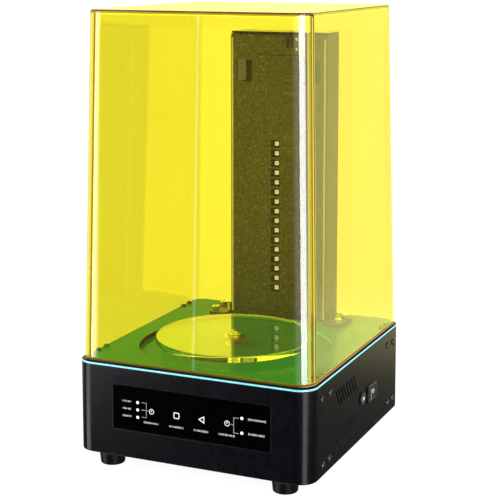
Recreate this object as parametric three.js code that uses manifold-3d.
// UV curing lamp for small printed models: a black sheet-metal base with a blue-green deck,
// a clear turntable sunk in a round well, a lamp column with sixteen LEDs, and an amber
// lift-off hood. Units are millimetres. +Z is up, the front faces -Y, the right side is +X,
// and z = 0 is the plane the feet rest on. The origin is the centre of the footprint.
import * as THREE from "three";
import { mergeVertices } from "three/addons/utils/BufferGeometryUtils.js";
import Module from "manifold-3d";

const wasm = await Module();
wasm.setup();

// ---------- driving dimensions ----------
const GAP = 0.3; // clearance between neighbouring parts
const SEAT_GAP = 0.2; // clearance under screw heads and collars

const W = 216; // width of the base, X
const D = 231.5; // depth of the base, Y
const SIDE = W / 2; // right face of the base
const FRONT = -D / 2; // front face of the base
const R_BASE = 15.1; // corner radius of the base
const FOOT_H = 11.5; // height of the rubber feet
const FLOOR_TOP = FOOT_H + 2; // upper face of the bottom plate
const SHELL_T = 2.2; // sheet thickness of the base shells
const SHELL_TOP = 88.7; // upper rim of the base shells

// light-blue tray, whose edge shows as a bright line, and the round dish pressed into it
const TRIM_Z0 = SHELL_TOP + GAP;
const TRIM_Z1 = TRIM_Z0 + 1.8;
const DISH_Z0 = 87.3;
const DISH_Z1 = 88.9;
const DISH_WALL = 1.8;

// upper deck plate, which also locates the hood
const DECK_Z0 = TRIM_Z1 + GAP;
const DECK_Z1 = DECK_Z0 + 2.1;
const WELL_R = 83.5; // round well in the deck plate

const TABLE_Y = -24.2; // Y of the turntable axis
const DISC_R = 68.9;
const DISC_Z0 = 97.0;
const DISC_Z1 = 102.2;

const HOOD_Z0 = 91.2;
const HOOD_Z1 = 388.5;
const HOOD_INSET = 2.05; // hood face inside the base face, at the bottom
const HOOD_T = 2.8; // wall thickness
const HOOD_TOP_T = 3.0;
const HOOD_R = 15.4; // corner radius
const TAPER = 0.02184; // inward lean of each hood wall, mm per mm

const COL_X = 47.0; // half width of the lamp column
const COL_Y0 = 71.0; // front face
const COL_Y1 = 103.5; // rear face
const COL_Z0 = DECK_Z1 + GAP;
const COL_Z1 = 363.0;

// ---------- fixing places ----------
const SIDES = [["left", -1], ["right", 1]]; // name, sign of x
const ENDS = [["front", -1], ["rear", 1]]; // name, sign of y
const FEET = ENDS.flatMap(([end, ySign]) =>
  SIDES.map(([side, xSign]) => [`${end}_${side}`, xSign * 80.4, ySign * 101.7]));
const DECK_SCREWS = SIDES.flatMap(([side, xSign]) =>
  ENDS.flatMap(([end, ySign]) =>
    [["inner", 75.6], ["outer", 88.2]].map(([place, y]) =>
      [`${side}_${end}_${place}`, xSign * 100, ySign * y])));
const COLUMN_BOLTS = SIDES.flatMap(([side, xSign]) =>
  [["front", 66.6], ["rear", 85.2]].map(([end, y]) => [`${side}_${end}`, xSign * 61.2, y]));
// screws on the right side of the base: name, y, z
const SHELL_SCREWS = [
  ["top_1", -92.6, 77.7], ["top_2", -73.8, 77.8], ["top_3", 76.8, 77.2], ["top_4", 93.2, 76.4],
  ["low_1", -89.2, 21.3], ["low_2", -74.0, 22.0], ["low_3", 77.8, 23.1], ["low_4", 92.4, 23.3],
];

// ---------- materials ----------
const material = (color, { roughness, metalness = 0, opacity = 1 }) =>
  new THREE.MeshStandardMaterial({
    color, roughness, metalness, transparent: opacity < 1, opacity,
  });
const MATERIALS = {
  shell: material(0x1a191c, { roughness: 0.45, metalness: 0.3 }),
  trim: material(0x9fe4f2, { roughness: 0.3, metalness: 0.2 }),
  deck: material(0x3f93ab, { roughness: 0.35, metalness: 0.5 }),
  amber: material(0xffd400, { roughness: 0.05, opacity: 0.45 }),
  clear: material(0xeef6ee, { roughness: 0.03, opacity: 0.35 }),
  column: material(0x6b6a66, { roughness: 0.5, metalness: 0.6 }),
  rubber: material(0x151515, { roughness: 0.85 }),
  glass: material(0x050506, { roughness: 0.08 }),
  board: material(0x1d5a34, { roughness: 0.6 }),
  steel: material(0xb9b9b4, { roughness: 0.3, metalness: 0.9 }),
  black: material(0x101011, { roughness: 0.5, metalness: 0.2 }),
  brass: material(0xc8a040, { roughness: 0.3, metalness: 0.9 }),
};

// ---------- solids and meshes ----------
const round = (value) => Math.round(value * 1e4) / 1e4;

// Welds a geometry on its rounded positions and makes a solid of it.
function solid(geometry) {
  const loose = geometry.index ? geometry.toNonIndexed() : geometry;
  const positions = Float32Array.from(loose.attributes.position.array, round);
  const bare = new THREE.BufferGeometry()
    .setAttribute("position", new THREE.BufferAttribute(positions, 3));
  const welded = mergeVertices(bare, 1e-4);
  return new wasm.Manifold(
    new wasm.Mesh({
      numProp: 3,
      vertProperties: welded.attributes.position.array,
      triVerts: new Uint32Array(welded.index.array),
    }),
  );
}
function geometryOf(piece) {
  const mesh = piece.getMesh();
  const positions = Float32Array.from(mesh.vertProperties, round);
  const geometry = new THREE.BufferGeometry()
    .setAttribute("position", new THREE.BufferAttribute(positions, 3))
    .setIndex(new THREE.BufferAttribute(new Uint32Array(mesh.triVerts), 1));
  geometry.computeVertexNormals();
  return geometry;
}
function put(group, name, piece, surface) {
  const mesh = new THREE.Mesh(geometryOf(piece), surface);
  mesh.name = name;
  group.add(mesh);
}
const minus = (body, ...cuts) => cuts.reduce((rest, cut) => rest.subtract(cut), body);
const plus = (body, ...more) => more.reduce((sum, part) => sum.add(part), body);

// ---------- outlines ----------
// Rounded rectangle with half sizes halfX and halfY.
function rounded(halfX, halfY, r, cx = 0, cy = 0) {
  const shape = new THREE.Shape();
  const corners = [[1, -1], [1, 1], [-1, 1], [-1, -1]];
  corners.forEach(([xSign, ySign], i) => {
    const start = ((i - 1) * Math.PI) / 2;
    const x = cx + xSign * (halfX - r);
    const y = cy + ySign * (halfY - r);
    shape.absarc(x, y, r, start, start + Math.PI / 2, false);
  });
  return shape;
}
const polygon = (points) => new THREE.Shape(points.map(([x, y]) => new THREE.Vector2(x, y)));
const baseOutline = (inset) => rounded(W / 2 - inset, D / 2 - inset, R_BASE - inset);
const hoodOutline = (inset) =>
  rounded(W / 2 - HOOD_INSET - inset, D / 2 - HOOD_INSET - inset, HOOD_R - inset);

// ---------- basic forms ----------
// Box between two corners.
function box(x0, x1, y0, y1, z0, z1) {
  const geometry = new THREE.BoxGeometry(x1 - x0, y1 - y0, z1 - z0);
  return solid(geometry.translate((x0 + x1) / 2, (y0 + y1) / 2, (z0 + z1) / 2));
}
// Box and its mirror image across x = 0.
const boxPair = (x0, x1, ...rest) => box(x0, x1, ...rest).add(box(-x1, -x0, ...rest));

// Geometry of a shape extruded from z0 to z1, for bending or turning before it is made solid.
function extrusion(shape, z0, z1, seg = 6) {
  const options = { depth: z1 - z0, bevelEnabled: false, curveSegments: seg };
  return new THREE.ExtrudeGeometry(shape, options).translate(0, 0, z0);
}
const prism = (...args) => solid(extrusion(...args));

// Upright cylinder.
function post(x, y, r, z0, z1, seg = 12) {
  const geometry = new THREE.CylinderGeometry(r, r, z1 - z0, seg);
  return solid(geometry.rotateX(Math.PI / 2).translate(x, y, (z0 + z1) / 2));
}
// Cylinder along X.
function barX(y, z, r, x0, x1, seg) {
  const geometry = new THREE.CylinderGeometry(r, r, x1 - x0, seg);
  return solid(geometry.rotateZ(-Math.PI / 2).translate((x0 + x1) / 2, y, z));
}
// Cylinder along Y.
function barY(x, z, r, y0, y1, seg) {
  const geometry = new THREE.CylinderGeometry(r, r, y1 - y0, seg);
  return solid(geometry.translate(x, (y0 + y1) / 2, z));
}
// Geometry turned about Z. Rows are [radius, height], from the lower axis point to the upper.
function lathe(rows, seg) {
  const points = rows.map(([r, height]) => new THREE.Vector2(r, height));
  return new THREE.LatheGeometry(points, seg).rotateX(Math.PI / 2);
}
const turned = (rows, seg, x, y) => solid(lathe(rows, seg).translate(x, y, 0));

// Rows of a screw pointing down: tip and seat are heights, rim and crown are above the seat.
function screwRows({ tip, seat, shankR, headR, rim, crownR, crown }) {
  return [
    [0, tip], [shankR, tip], [shankR, seat], [headR, seat],
    [headR, seat + rim], [crownR, seat + crown], [0, seat + crown],
  ];
}

// Forms on the turntable axis.
const spun = (rows, seg) => turned(rows, seg, 0, TABLE_Y);
const axisPost = (r, z0, z1, seg = 14) => post(0, TABLE_Y, r, z0, z1, seg);

// Cuts right through the trim plate, the deck plate and whatever is bolted flat on them.
const CUT_Z0 = 85;
const CUT_Z1 = 99;
const deckHole = (x, y, r, seg) => post(x, y, r, CUT_Z0, CUT_Z1, seg);
const cableOpening = box(-14, 14, 80, 94, CUT_Z0, CUT_Z1); // under the column

const lamp = new THREE.Group();
lamp.name = "uv_curing_lamp";
const baseGroup = new THREE.Group();
const columnGroup = new THREE.Group();
const hoodGroup = new THREE.Group();
const tableGroup = new THREE.Group();
const switchGroup = new THREE.Group();
lamp.add(baseGroup, columnGroup, hoodGroup, tableGroup, switchGroup);

// ---------- base shells ----------
const SEAM_Y = -82.8; // seam between the front and rear shells
const SEAM_GAP = 0.5;
const FAR = 150; // beyond the base on every side
const WALL_CUT = [SIDE - 8, SIDE + 4]; // x range of cuts through the right wall

// front display window
const PANEL_X = 72.4; // half width
const PANEL_Z0 = 35.4;
const PANEL_Z1 = 74.0;

// power switch on the right side: centre and half sizes of its body
const SWITCH_Y = 30.5;
const SWITCH_Z = 47.3;
const SWITCH_HALF_Y = 9.3;
const SWITCH_HALF_Z = 6.3;
const switchBox = (x0, x1, halfY, halfZ) =>
  box(x0, x1, SWITCH_Y - halfY, SWITCH_Y + halfY, SWITCH_Z - halfZ, SWITCH_Z + halfZ);

// power inlet on the right side
const JACK_R = 4.3;
const jackBar = (r, x0, x1, seg = 16) => barX(6.6, 48.2, r, x0, x1, seg);

// banks of slanted ventilation slots: top y, top z, low y, low z, pitch along Y
const VENT_BANKS = [
  [-59.6, 75.1, -50.0, 59.8, 6.15],
  [-50.9, 40.0, -59.2, 25.7, 6.2],
];
const VENT_N = 8; // slots in a bank
const VENT_HALF = 1.2; // half width of a slot along Y

function ventSlot(yTop, zTop, yLow, zLow) {
  const outline = polygon([
    [yTop - VENT_HALF, zTop], [yLow - VENT_HALF, zLow],
    [yLow + VENT_HALF, zLow], [yTop + VENT_HALF, zTop],
  ]);
  // the sketch's x becomes Y, its y becomes Z, and its depth becomes X
  const axes = new THREE.Matrix4().makeBasis(
    new THREE.Vector3(0, 1, 0), new THREE.Vector3(0, 0, 1), new THREE.Vector3(1, 0, 0),
  );
  return solid(extrusion(outline, ...WALL_CUT).applyMatrix4(axes));
}

const skin = prism(baseOutline(0), FOOT_H, SHELL_TOP)
  .subtract(prism(baseOutline(SHELL_T), FOOT_H - 1, SHELL_TOP + 1));
const screwHoles = SHELL_SCREWS.map(([, y, z]) => barX(y, z, 2.0, ...WALL_CUT, 10));

put(baseGroup, "front_shell", minus(
  skin.intersect(box(-FAR, FAR, -FAR, SEAM_Y - SEAM_GAP / 2, 0, FAR)),
  box(-PANEL_X - GAP, PANEL_X + GAP, FRONT - 5, FRONT + 5, PANEL_Z0 - GAP, PANEL_Z1 + GAP),
  ...screwHoles,
), MATERIALS.shell);

let rearShell = minus(
  skin.intersect(box(-FAR, FAR, SEAM_Y + SEAM_GAP / 2, FAR, 0, FAR)),
  ...screwHoles,
  switchBox(...WALL_CUT, SWITCH_HALF_Y + GAP, SWITCH_HALF_Z + GAP),
  jackBar(JACK_R + GAP, ...WALL_CUT),
);
for (const [yTop, zTop, yLow, zLow, pitch] of VENT_BANKS)
  for (let i = 0; i < VENT_N; i++)
    rearShell = rearShell.subtract(ventSlot(yTop + i * pitch, zTop, yLow + i * pitch, zLow));
put(baseGroup, "rear_shell", rearShell, MATERIALS.shell);

// ---------- floor of the base, feet and their screws ----------
put(baseGroup, "bottom_plate", minus(
  prism(baseOutline(SHELL_T + GAP), FOOT_H, FLOOR_TOP),
  ...FEET.map(([, x, y]) => post(x, y, 2.0, FOOT_H - 1, FLOOR_TOP + 1, 10)),
), MATERIALS.shell);

// tapered foot with a blind hole for its screw
const FOOT_ROWS = [
  [0, 0], [9.6, 0], [10.4, 0.8], [12.0, FOOT_H - GAP],
  [2.0, FOOT_H - GAP], [2.0, 4.5], [0, 4.5],
];
const FOOT_SCREW_ROWS = screwRows({
  tip: 5.2, seat: FLOOR_TOP + SEAT_GAP,
  shankR: 1.6, headR: 3.8, rim: 1.2, crownR: 2.9, crown: 2.2,
});
for (const [name, x, y] of FEET) {
  put(baseGroup, "foot_" + name, turned(FOOT_ROWS, 20, x, y), MATERIALS.rubber);
  put(baseGroup, "foot_screw_" + name, turned(FOOT_SCREW_ROWS, 10, x, y), MATERIALS.steel);
}

// ---------- trim plate and deck plate ----------
const SENSOR = [81.4, 50.2]; // x, y
const well = axisPost(WELL_R, CUT_Z0, CUT_Z1, 56);
const sharedCuts = [
  cableOpening,
  ...DECK_SCREWS.map(([, x, y]) => deckHole(x, y, 1.7, 8)),
  ...COLUMN_BOLTS.map(([, x, y]) => deckHole(x, y, 2.4, 10)),
];
const dish = minus(
  axisPost(WELL_R + DISH_WALL, DISH_Z0, TRIM_Z0 + 0.9, 56),
  axisPost(WELL_R, DISH_Z1, CUT_Z1, 56),
);
put(baseGroup, "trim_plate", minus(
  prism(baseOutline(0), TRIM_Z0, TRIM_Z1).subtract(well).add(dish),
  axisPost(6.5, CUT_Z0, CUT_Z1, 16), // for the spindle bush
  deckHole(...SENSOR, 2.4, 10),
  ...sharedCuts,
), MATERIALS.trim);
put(baseGroup, "deck_plate", minus(
  prism(hoodOutline(HOOD_T + 0.7), DECK_Z0, DECK_Z1), // fits inside the hood
  well,
  deckHole(...SENSOR, 2.2, 10),
  ...sharedCuts,
), MATERIALS.deck);

const DECK_SCREW_ROWS = screwRows({
  tip: 86.6, seat: DECK_Z1 + SEAT_GAP,
  shankR: 1.3, headR: 2.2, rim: 1.0, crownR: 1.4, crown: 1.6,
});
for (const [name, x, y] of DECK_SCREWS)
  put(baseGroup, "deck_screw_" + name, turned(DECK_SCREW_ROWS, 10, x, y), MATERIALS.black);

// These heights become x once the screw is laid over to face right.
const SHELL_SCREW_ROWS = screwRows({
  tip: SIDE - 6.5, seat: SIDE + SEAT_GAP,
  shankR: 1.6, headR: 2.7, rim: 0.7, crownR: 1.8, crown: 1.3,
});
for (const [name, y, z] of SHELL_SCREWS) {
  const screw = solid(lathe(SHELL_SCREW_ROWS, 10).rotateY(Math.PI / 2).translate(0, y, z));
  put(baseGroup, "shell_screw_" + name, screw, MATERIALS.black);
}

// limit sensor that notices the hood
const SENSOR_ROWS = [[0, 84], [1.8, 84], [1.8, DECK_Z1 - 0.4], [0, DECK_Z1 - 0.4]];
put(baseGroup, "hood_sensor", turned(SENSOR_ROWS, 12, ...SENSOR), MATERIALS.black);

// ---------- control panel and boards ----------
put(baseGroup, "display_window",
  box(-PANEL_X, PANEL_X, FRONT - 0.3, FRONT + 2.4, PANEL_Z0, PANEL_Z1), MATERIALS.glass);

const PAD_Z = 54.8;
const PAD_XS = [-34.8, -11.5, 11.9, 34.7];
// indicator lamps: x, z
const INDICATORS = [[-47.9, 61.1], [-47.9, 54.7], [-47.9, 48.3], [47.9, 60.8], [47.9, 48.4]];
const INDICATOR_HALF = 1.2;
put(baseGroup, "control_board", plus(
  box(-70, 70, FRONT + 4.2, FRONT + 5.8, PANEL_Z0 + 1, PANEL_Z1 - 1),
  ...PAD_XS.map((x) => barY(x, PAD_Z, 5, FRONT + 3.2, FRONT + 4.6, 12)), // touch pads
  ...INDICATORS.map(([x, z]) => box(
    x - INDICATOR_HALF, x + INDICATOR_HALF, FRONT + 3.1, FRONT + 4.6,
    z - INDICATOR_HALF, z + INDICATOR_HALF,
  )),
  box(-12, 12, FRONT + 5.4, FRONT + 9, 40, 46), // ribbon socket
), MATERIALS.board);

const PARTS_Z0 = 22; // parts start just inside the main board
// blocks on the board: x0, x1, y0, y1, top z
const BOARD_BLOCKS = [
  [-74, -52, 24, 40, 33], [-46, -30, 22, 36, 30], [-30, -8, 44, 60, 26], [-22, -4, 70, 80, 30],
];
// upright cylinders on the board: x, y, radius, top z
const BOARD_CANS = [[-64, 56, 6, 38], [-48, 58, 4, 34]];
const STANDOFFS = [[-74, 80], [-2, 22], [-74, 22], [-2, 80]]; // x, y
put(baseGroup, "main_board", plus(
  box(-78, 2, 18, 84, 21, 22.6),
  ...BOARD_BLOCKS.map(([x0, x1, y0, y1, top]) => box(x0, x1, y0, y1, PARTS_Z0, top)),
  ...BOARD_CANS.map(([x, y, r, top]) => post(x, y, r, PARTS_Z0, top)),
  ...STANDOFFS.map(([x, y]) => post(x, y, 2.4, FLOOR_TOP + GAP, 21.4, 8)),
), MATERIALS.board);

// ---------- turntable drive ----------
const MOTOR_Z0 = 58;
const MOTOR_Z1 = 79;
put(baseGroup, "gear_motor", minus(
  plus(
    spun([
      [0, MOTOR_Z0], [23.5, MOTOR_Z0], [25, MOTOR_Z0 + 1.5],
      [25, MOTOR_Z1 - 1], [24, MOTOR_Z1], [0, MOTOR_Z1],
    ], 28),
    // ears, then the block on the front of the can
    box(-29.5, 29.5, TABLE_Y - 5, TABLE_Y + 5, MOTOR_Z1 - 1.6, MOTOR_Z1),
    box(-8, 8, TABLE_Y - 31, TABLE_Y - 20, MOTOR_Z0 + 3, MOTOR_Z0 + 13),
  ),
  axisPost(3.3, 66, 90),
), MATERIALS.steel);

// plate over the motor, side walls up to the dish, and outward flanges under it
const BRACKET_T = 2;
const BRACKET_X = 32; // half width over the side walls
const BRACKET_Y = [TABLE_Y - 20, TABLE_Y + 20];
const BRACKET_Z0 = MOTOR_Z1 + GAP;
const BRACKET_Z1 = DISH_Z0 - GAP;
put(baseGroup, "motor_bracket", minus(
  plus(
    box(-BRACKET_X, BRACKET_X, ...BRACKET_Y, BRACKET_Z0, BRACKET_Z0 + BRACKET_T),
    boxPair(BRACKET_X - BRACKET_T, BRACKET_X, ...BRACKET_Y, MOTOR_Z1 + 1, BRACKET_Z1),
    boxPair(30.5, 44, ...BRACKET_Y, BRACKET_Z1 - BRACKET_T, BRACKET_Z1),
  ),
  axisPost(7, 76, 92),
), MATERIALS.steel);

const COLLAR_Z0 = DISH_Z1 + SEAT_GAP;
const COLLAR_Z1 = DISH_Z1 + 1.0;
put(baseGroup, "spindle_bush", minus(
  spun([
    [0, 83.8], [6.1, 83.8], [6.1, COLLAR_Z0], [8.5, COLLAR_Z0], [8.5, COLLAR_Z1], [0, COLLAR_Z1],
  ], 20),
  axisPost(3.4, 80, 99),
), MATERIALS.brass);

// ---------- turntable ----------
const DISC_BEVEL = 0.4;
put(tableGroup, "turntable_disc", minus(
  spun([
    [0, DISC_Z0], [DISC_R - DISC_BEVEL, DISC_Z0], [DISC_R, DISC_Z0 + DISC_BEVEL],
    [DISC_R, DISC_Z1 - DISC_BEVEL], [DISC_R - DISC_BEVEL, DISC_Z1], [0, DISC_Z1],
  ], 60),
  axisPost(3.4, 90, 110),
), MATERIALS.clear);

const HUB_TOP = DISC_Z0 - SEAT_GAP;
put(tableGroup, "turntable_hub", minus(
  spun([[0, 90.6], [4.6, 90.6], [4.6, 94.8], [10, 94.8], [10, HUB_TOP], [0, HUB_TOP]], 20),
  axisPost(3.3, 89, 99),
), MATERIALS.steel);

const KNOB_Z0 = DISC_Z1 + SEAT_GAP;
put(tableGroup, "turntable_knob", minus(
  spun([
    [0, KNOB_Z0], [6.5, KNOB_Z0], [6.7, DISC_Z1 + 1.4],
    [6.0, DISC_Z1 + 2.9], [3.0, DISC_Z1 + 3.6], [0, DISC_Z1 + 3.6],
  ], 20),
  axisPost(2.2, DISC_Z1 - 1, DISC_Z1 + 2.6, 12),
), MATERIALS.brass);

const SPINDLE_STEP = DISC_Z1 - 0.6; // thinner above this, to enter the knob
const SPINDLE_TOP = DISC_Z1 + 2.3;
put(tableGroup, "spindle", spun([
  [0, 67], [3, 67], [3, SPINDLE_STEP], [1.9, SPINDLE_STEP], [1.9, SPINDLE_TOP], [0, SPINDLE_TOP],
], 14), MATERIALS.steel);

// ---------- power switch and inlet ----------
put(baseGroup, "switch_housing", minus(
  plus(
    switchBox(SIDE - 17, SIDE + 0.5, SWITCH_HALF_Y, SWITCH_HALF_Z),
    switchBox(SIDE + 0.2, SIDE + 2.0, 10.6, 7.5), // flange
  ),
  switchBox(SIDE - 9, SIDE + 4, 8.2, 5.2),
), MATERIALS.black);

// rocker: a shallow V seen from above, turned about an upright pin so one half is pressed in
const ROCKER_PLAN = [ // x, y
  [-4.6, -6.4], [-4.6, 7.3], [2.6, 7.6], [3.9, 6.6], [1.5, 0], [3.7, -6.8], [2.6, -7.5],
];
const ROCKER_HALF_H = 4.8;
const ROCKER_TILT = THREE.MathUtils.degToRad(7);
put(switchGroup, "power_rocker", solid(
  extrusion(polygon(ROCKER_PLAN), -ROCKER_HALF_H, ROCKER_HALF_H)
    .rotateZ(ROCKER_TILT)
    .translate(SIDE - 1.1, SWITCH_Y, SWITCH_Z),
), MATERIALS.black);

put(baseGroup, "dc_jack", plus(
  minus(
    plus(jackBar(JACK_R, SIDE - 13, SIDE + 0.8), jackBar(5.6, SIDE + 0.3, SIDE + 1.8)),
    jackBar(3.0, SIDE - 9, SIDE + 3),
  ),
  jackBar(0.9, SIDE - 10, SIDE + 0.6, 8), // centre pin
), MATERIALS.black);

// ---------- lamp column ----------
const HOUSING_T = 1.8; // sheet of the column housing
const COVER_T = 1.5; // sheet of the front cover
const HOUSING_Y0 = COL_Y0 + COVER_T + GAP;
const CAP_Z0 = COL_Z1 - 1.8;
const COVER_Z1 = COL_Z1 - 2.4;

// Upright block of the column's width, from y0 to its rear face.
const columnBlock = (y0, r, z0, z1) =>
  prism(rounded(COL_X, (COL_Y1 - y0) / 2, r, 0, (COL_Y1 + y0) / 2), z0, z1, 3);
// y range of cuts through the front cover and the latch plate
const COVER_CUT = [COL_Y0 - 2, COL_Y0 + 4];
const coverCut = (x0, x1, z0, z1) => box(x0, x1, ...COVER_CUT, z0, z1);

put(columnGroup, "column_housing", minus(
  columnBlock(HOUSING_Y0, 1.6, COL_Z0, CAP_Z0 - GAP),
  box(
    -COL_X + HOUSING_T, COL_X - HOUSING_T, COL_Y0 - 5, COL_Y1 - HOUSING_T,
    COL_Z0 + HOUSING_T, COL_Z1 + 5,
  ),
  cableOpening,
), MATERIALS.column);

// LED windows, counted downwards
const LED_N = 16;
const LED_TOP = 259.0;
const LED_PITCH = 9.133;
const LED_X = -1.5;
const LED_W = 7.7;
const LED_H = 6.5;
const LED_ZS = Array.from({ length: LED_N }, (_, i) => LED_TOP - i * LED_PITCH);
const LED_LOW = LED_ZS[LED_N - 1];

// slots of the hanger pockets: name, x0, x1
const SLOTS = [["left", -40.3, -25.2], ["right", 25.2, 40.3]];
const SLOT_Z0 = 316.0;
const SLOT_Z1 = 336.8;
const LATCH_X = 22.3; // half width of the latch plate
const LATCH_Z0 = 341.8;
const LATCH_Z1 = 358.7;

const coverHalfH = (COVER_Z1 - COL_Z0) / 2;
const coverOutline = rounded(COL_X - GAP, coverHalfH, 2.0, 0, (COVER_Z1 + COL_Z0) / 2);
// stood upright: the sketch's y becomes Z
const coverSheet = extrusion(coverOutline, 0, COVER_T, 3)
  .rotateX(Math.PI / 2)
  .translate(0, COL_Y0 + COVER_T, 0);
put(columnGroup, "column_front_cover", minus(
  solid(coverSheet),
  ...LED_ZS.map((z) =>
    coverCut(LED_X - LED_W / 2, LED_X + LED_W / 2, z - LED_H / 2, z + LED_H / 2)),
  ...SLOTS.map(([, x0, x1]) => coverCut(x0, x1, SLOT_Z0, SLOT_Z1)),
  coverCut(-LATCH_X - GAP, LATCH_X + GAP, LATCH_Z0 - GAP, LATCH_Z1 + GAP),
), MATERIALS.column);
put(columnGroup, "column_top_cap", columnBlock(COL_Y0, 2.6, CAP_Z0, COL_Z1), MATERIALS.column);

const POCKET_T = 1.2;
const POCKET_Y1 = COL_Y0 + 22;
for (const [name, x0, x1] of SLOTS)
  put(columnGroup, "hanger_pocket_" + name, minus(
    box(
      x0 - POCKET_T, x1 + POCKET_T, HOUSING_Y0, POCKET_Y1,
      SLOT_Z0 - POCKET_T, SLOT_Z1 + POCKET_T,
    ),
    box(x0, x1, COL_Y0 - 1, POCKET_Y1 - POCKET_T, SLOT_Z0, SLOT_Z1),
  ), MATERIALS.black);

const LATCH_Y0 = COL_Y0 + 0.3;
const LATCH_SCREW_X = 19.2;
const LATCH_SCREWS = [["upper", 356.6], ["lower", 347.2]]; // name, z
put(columnGroup, "latch_plate", minus(
  box(-LATCH_X, LATCH_X, LATCH_Y0, COL_Y0 + COVER_T, LATCH_Z0, LATCH_Z1),
  coverCut(9.1, 13.0, 348.1, 358.0),
  ...LATCH_SCREWS.map(([, z]) => barY(LATCH_SCREW_X, z, 1.2, ...COVER_CUT, 8)),
), MATERIALS.column);

// Heights are measured from the face of the latch plate, towards the front.
const LATCH_SCREW_ROWS = screwRows({
  tip: -5, seat: 0.1, shankR: 0.9, headR: 1.7, rim: 0.6, crownR: 1.1, crown: 1.0,
});
for (const [name, z] of LATCH_SCREWS) {
  const geometry = lathe(LATCH_SCREW_ROWS, 10).rotateX(Math.PI / 2);
  const screw = solid(geometry.translate(LATCH_SCREW_X, LATCH_Y0, z));
  put(columnGroup, "latch_screw_" + name, screw, MATERIALS.steel);
}

// Block behind the cover, centred on the LED row; y0 and y1 count from the column's front.
const ledBox = (halfX, y0, y1, z0, z1) =>
  box(LED_X - halfX, LED_X + halfX, COL_Y0 + y0, COL_Y0 + y1, z0, z1);
put(columnGroup, "led_strip", plus(
  ledBox(7, 4.6, 6.2, LED_LOW - 8, LED_TOP + 8),
  ...LED_ZS.map((z) => ledBox(2.5, 2.9, 5, z - 2.5, z + 2.5)),
  // wide carrier that spreads the heat, fixed to the back of the board
  ledBox(22, 5.9, 8.4, LED_LOW - 14, LED_TOP + 14),
), MATERIALS.board);

// lead of the LED board, down through the deck: x, y, z
const CABLE_POINTS = [
  [0, COL_Y0 + 11.5, 150], [0, COL_Y0 + 14, 130], [0, COL_Y0 + 15.5, 105],
  [0, COL_Y0 + 16, 85], [-4, 84, 60], [-12, 76, 32],
];
const CABLE_R = 1.6;
const cablePath = new THREE.CatmullRomCurve3(CABLE_POINTS.map((p) => new THREE.Vector3(...p)));
const cableSection = new THREE.Shape();
cableSection.absarc(0, 0, CABLE_R, 0, Math.PI * 2, false);
put(columnGroup, "led_cable", solid(new THREE.ExtrudeGeometry(cableSection, {
  steps: 14, bevelEnabled: false, extrudePath: cablePath, curveSegments: 6,
})), MATERIALS.black);

// angled feet that bolt the column down: a flat plate and an upright tab beside the column
const COL_FOOT_TOP = DECK_Z1 + 2.7;
for (const [side, xSign] of SIDES) {
  const tabX = xSign * (COL_X + 1.5);
  const foot = plus(
    prism(rounded(9.2, 17.6, 3.5, xSign * 56.7, 76.9), DECK_Z1 + GAP, COL_FOOT_TOP, 4),
    box(tabX - 1, tabX + 1, 74, 94, DECK_Z1 + 1, DECK_Z1 + 9),
  );
  const holes = COLUMN_BOLTS.map(([, x, y]) => deckHole(x, y, 2.3, 10));
  put(columnGroup, "column_foot_" + side, minus(foot, ...holes), MATERIALS.column);
}
const BOLT_ROWS = screwRows({
  tip: 84.5, seat: COL_FOOT_TOP + SEAT_GAP,
  shankR: 1.9, headR: 3.4, rim: 3.7, crownR: 3.0, crown: 4.1,
});
for (const [name, x, y] of COLUMN_BOLTS)
  put(columnGroup, "column_bolt_" + name, turned(BOLT_ROWS, 12, x, y), MATERIALS.steel);

// ---------- hood ----------
// Pulls every corner inwards in proportion to its height, which keeps the corner radius.
function lean(geometry) {
  const p = geometry.attributes.position;
  for (let i = 0; i < p.count; i++) {
    const shift = TAPER * (p.getZ(i) - HOOD_Z0);
    p.setX(i, p.getX(i) - Math.sign(p.getX(i)) * shift);
    p.setY(i, p.getY(i) - Math.sign(p.getY(i)) * shift);
  }
  return geometry;
}
put(hoodGroup, "hood", minus(
  solid(lean(extrusion(hoodOutline(0), HOOD_Z0, HOOD_Z1))),
  solid(lean(extrusion(hoodOutline(HOOD_T), HOOD_Z0 - 5, HOOD_Z1 - HOOD_TOP_T))),
), MATERIALS.amber);

export default lamp;
